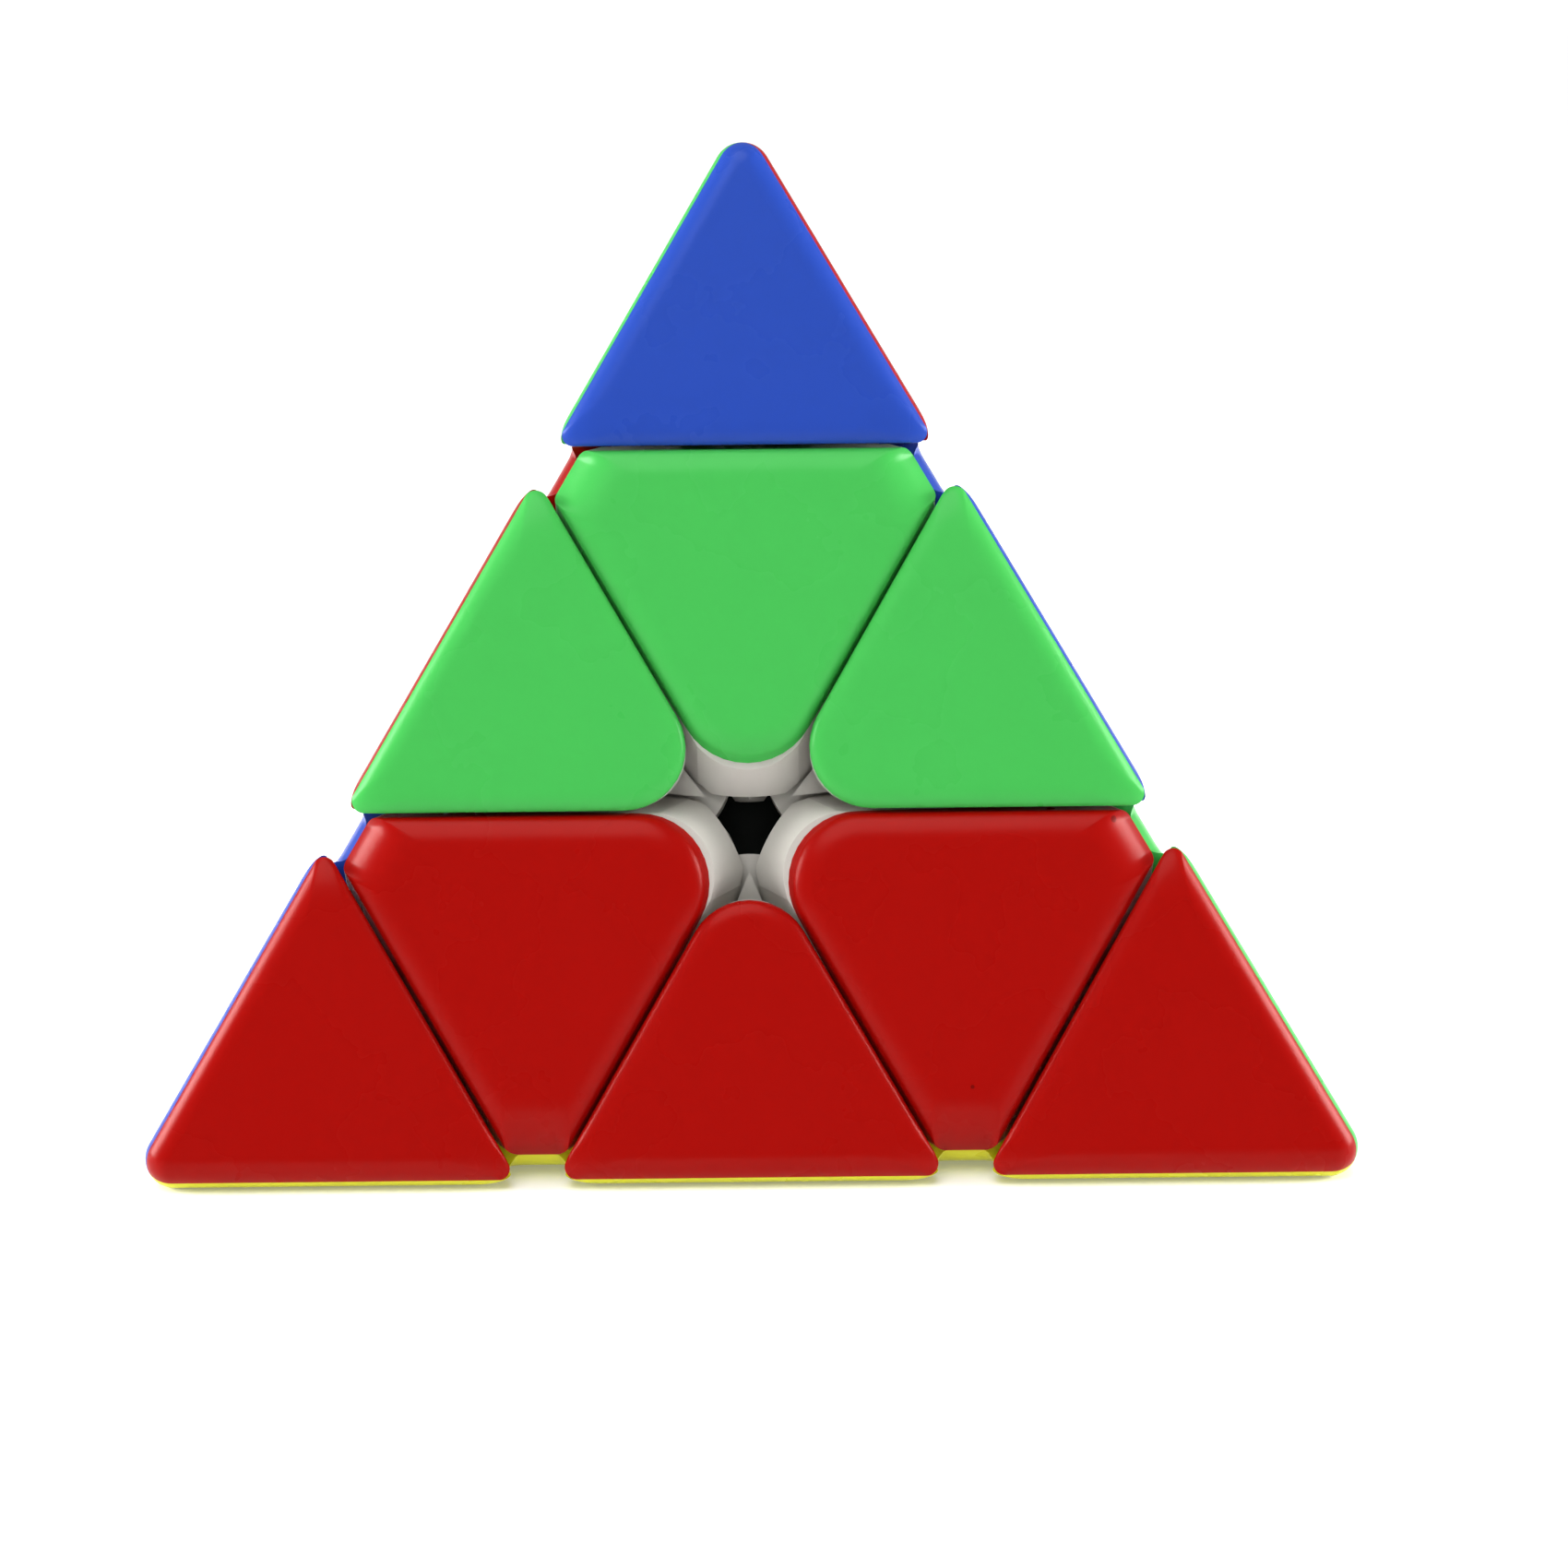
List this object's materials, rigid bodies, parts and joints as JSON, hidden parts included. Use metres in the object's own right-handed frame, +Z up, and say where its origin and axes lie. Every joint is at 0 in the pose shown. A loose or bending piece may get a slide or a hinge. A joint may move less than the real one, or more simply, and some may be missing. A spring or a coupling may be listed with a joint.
{
  "type": "pyramid twisty puzzle",
  "caption": "Tetrahedral twisty puzzle: coloured corner tips, turning centres and edge pieces that run in spherical tracks round a sprung core.",
  "frame": {"origin": "centre of the core, where the four turning axes meet; the resting face lies 21.2 mm below it", "axes": "+Z up through the top corner, -Y toward the front face, +X to the right of someone facing the front face"},
  "size_m": [0.0974, 0.0848, 0.0801],
  "materials": {
    "cap_red": "semi-gloss moulded plastic",
    "cap_green": "semi-gloss moulded plastic",
    "cap_blue": "semi-gloss moulded plastic",
    "cap_yellow": "semi-gloss moulded plastic",
    "internals_white": "satin moulded plastic",
    "core_black": "matte",
    "steel": "plain zinc-plated steel"
  },
  "bodies": {
    "core": {"core": "core_black", "axis_screws": "steel", "spring_washers": "steel", "axis_springs": "steel"},
    "axial_top": {"axial_top_body": "internals_white", "axial_top_cap_front": "cap_green", "axial_top_cap_left": "cap_red", "axial_top_cap_right": "cap_blue"},
    "axial_left": {"axial_left_body": "internals_white", "axial_left_cap_front": "cap_red", "axial_left_cap_left": "cap_blue", "axial_left_cap_bottom": "cap_yellow"},
    "axial_right": {"axial_right_body": "internals_white", "axial_right_cap_front": "cap_red", "axial_right_cap_right": "cap_green", "axial_right_cap_bottom": "cap_yellow"},
    "axial_back": {"axial_back_body": "internals_white", "axial_back_cap_left": "cap_blue", "axial_back_cap_right": "cap_green", "axial_back_cap_bottom": "cap_yellow"},
    "edge_top_left": {"edge_top_left_body": "internals_white", "edge_top_left_cap_front": "cap_green", "edge_top_left_cap_left": "cap_red"},
    "edge_top_right": {"edge_top_right_body": "internals_white", "edge_top_right_cap_front": "cap_green", "edge_top_right_cap_right": "cap_blue"},
    "edge_top_back": {"edge_top_back_body": "internals_white", "edge_top_back_cap_left": "cap_red", "edge_top_back_cap_right": "cap_blue"},
    "edge_left_right": {"edge_left_right_body": "internals_white", "edge_left_right_cap_front": "cap_red", "edge_left_right_cap_bottom": "cap_yellow"},
    "edge_right_back": {"edge_right_back_body": "internals_white", "edge_right_back_cap_right": "cap_green", "edge_right_back_cap_bottom": "cap_yellow"},
    "edge_back_left": {"edge_back_left_body": "internals_white", "edge_back_left_cap_left": "cap_blue", "edge_back_left_cap_bottom": "cap_yellow"},
    "tip_top": {"tip_top_body": "internals_white", "tip_top_cap_front": "cap_blue", "tip_top_cap_left": "cap_green", "tip_top_cap_right": "cap_red"},
    "tip_left": {"tip_left_body": "internals_white", "tip_left_cap_front": "cap_red", "tip_left_cap_left": "cap_blue", "tip_left_cap_bottom": "cap_yellow"},
    "tip_right": {"tip_right_body": "internals_white", "tip_right_cap_front": "cap_red", "tip_right_cap_right": "cap_green", "tip_right_cap_bottom": "cap_yellow"},
    "tip_back": {"tip_back_body": "internals_white", "tip_back_cap_left": "cap_blue", "tip_back_cap_right": "cap_green", "tip_back_cap_bottom": "cap_yellow"}
  },
  "joints": [
    {"name": "top_layer_turn", "type": "hinge", "parent": "core", "child": "axial_top", "pos_m": [0, 0, 0], "axis": [0, 0, 1], "continuous": true},
    {"name": "left_layer_turn", "type": "hinge", "parent": "core", "child": "axial_left", "pos_m": [0, 0, 0], "axis": [-0.8165, -0.4714, -0.3333], "range_deg": [-360, 360]},
    {"name": "right_layer_turn", "type": "hinge", "parent": "core", "child": "axial_right", "pos_m": [0, 0, 0], "axis": [0.8165, -0.4714, -0.3333], "range_deg": [-360, 360]},
    {"name": "back_layer_turn", "type": "hinge", "parent": "core", "child": "axial_back", "pos_m": [0, 0, 0], "axis": [0, 0.9428, -0.3333], "range_deg": [-360, 360]},
    {"name": "top_tip_turn", "type": "hinge", "parent": "axial_top", "child": "tip_top", "pos_m": [0, 0, 0], "axis": [0, 0, 1], "continuous": true},
    {"name": "left_tip_turn", "type": "hinge", "parent": "axial_left", "child": "tip_left", "pos_m": [0, 0, 0], "axis": [-0.8165, -0.4714, -0.3333], "continuous": true},
    {"name": "right_tip_turn", "type": "hinge", "parent": "axial_right", "child": "tip_right", "pos_m": [0, 0, 0], "axis": [0.8165, -0.4714, -0.3333], "continuous": true},
    {"name": "back_tip_turn", "type": "hinge", "parent": "axial_back", "child": "tip_back", "pos_m": [0, 0, 0], "axis": [0, 0.9428, -0.3333], "continuous": true},
    {"name": "edge_top_left_in_left_layer", "type": "hinge", "parent": "axial_top", "child": "edge_top_left", "pos_m": [0, 0, 0], "axis": [-0.8165, -0.4714, -0.3333], "range_deg": [-360, 360]},
    {"name": "edge_top_right_in_right_layer", "type": "hinge", "parent": "axial_top", "child": "edge_top_right", "pos_m": [0, 0, 0], "axis": [0.8165, -0.4714, -0.3333], "range_deg": [-360, 360]},
    {"name": "edge_top_back_in_back_layer", "type": "hinge", "parent": "axial_top", "child": "edge_top_back", "pos_m": [0, 0, 0], "axis": [0, 0.9428, -0.3333], "range_deg": [-360, 360]},
    {"name": "edge_left_right_in_right_layer", "type": "hinge", "parent": "axial_left", "child": "edge_left_right", "pos_m": [0, 0, 0], "axis": [0.8165, -0.4714, -0.3333], "range_deg": [-360, 360]},
    {"name": "edge_right_back_in_back_layer", "type": "hinge", "parent": "axial_right", "child": "edge_right_back", "pos_m": [0, 0, 0], "axis": [0, 0.9428, -0.3333], "range_deg": [-360, 360]},
    {"name": "edge_back_left_in_left_layer", "type": "hinge", "parent": "axial_back", "child": "edge_back_left", "pos_m": [0, 0, 0], "axis": [-0.8165, -0.4714, -0.3333], "range_deg": [-360, 360]}
  ],
  "couplings": [
    {"joint": "edge_top_left_in_left_layer", "follows": "left_layer_turn", "ratio": 1},
    {"joint": "edge_top_right_in_right_layer", "follows": "right_layer_turn", "ratio": 1},
    {"joint": "edge_top_back_in_back_layer", "follows": "back_layer_turn", "ratio": 1},
    {"joint": "edge_left_right_in_right_layer", "follows": "right_layer_turn", "ratio": 1},
    {"joint": "edge_right_back_in_back_layer", "follows": "back_layer_turn", "ratio": 1},
    {"joint": "edge_back_left_in_left_layer", "follows": "left_layer_turn", "ratio": 1}
  ]
}
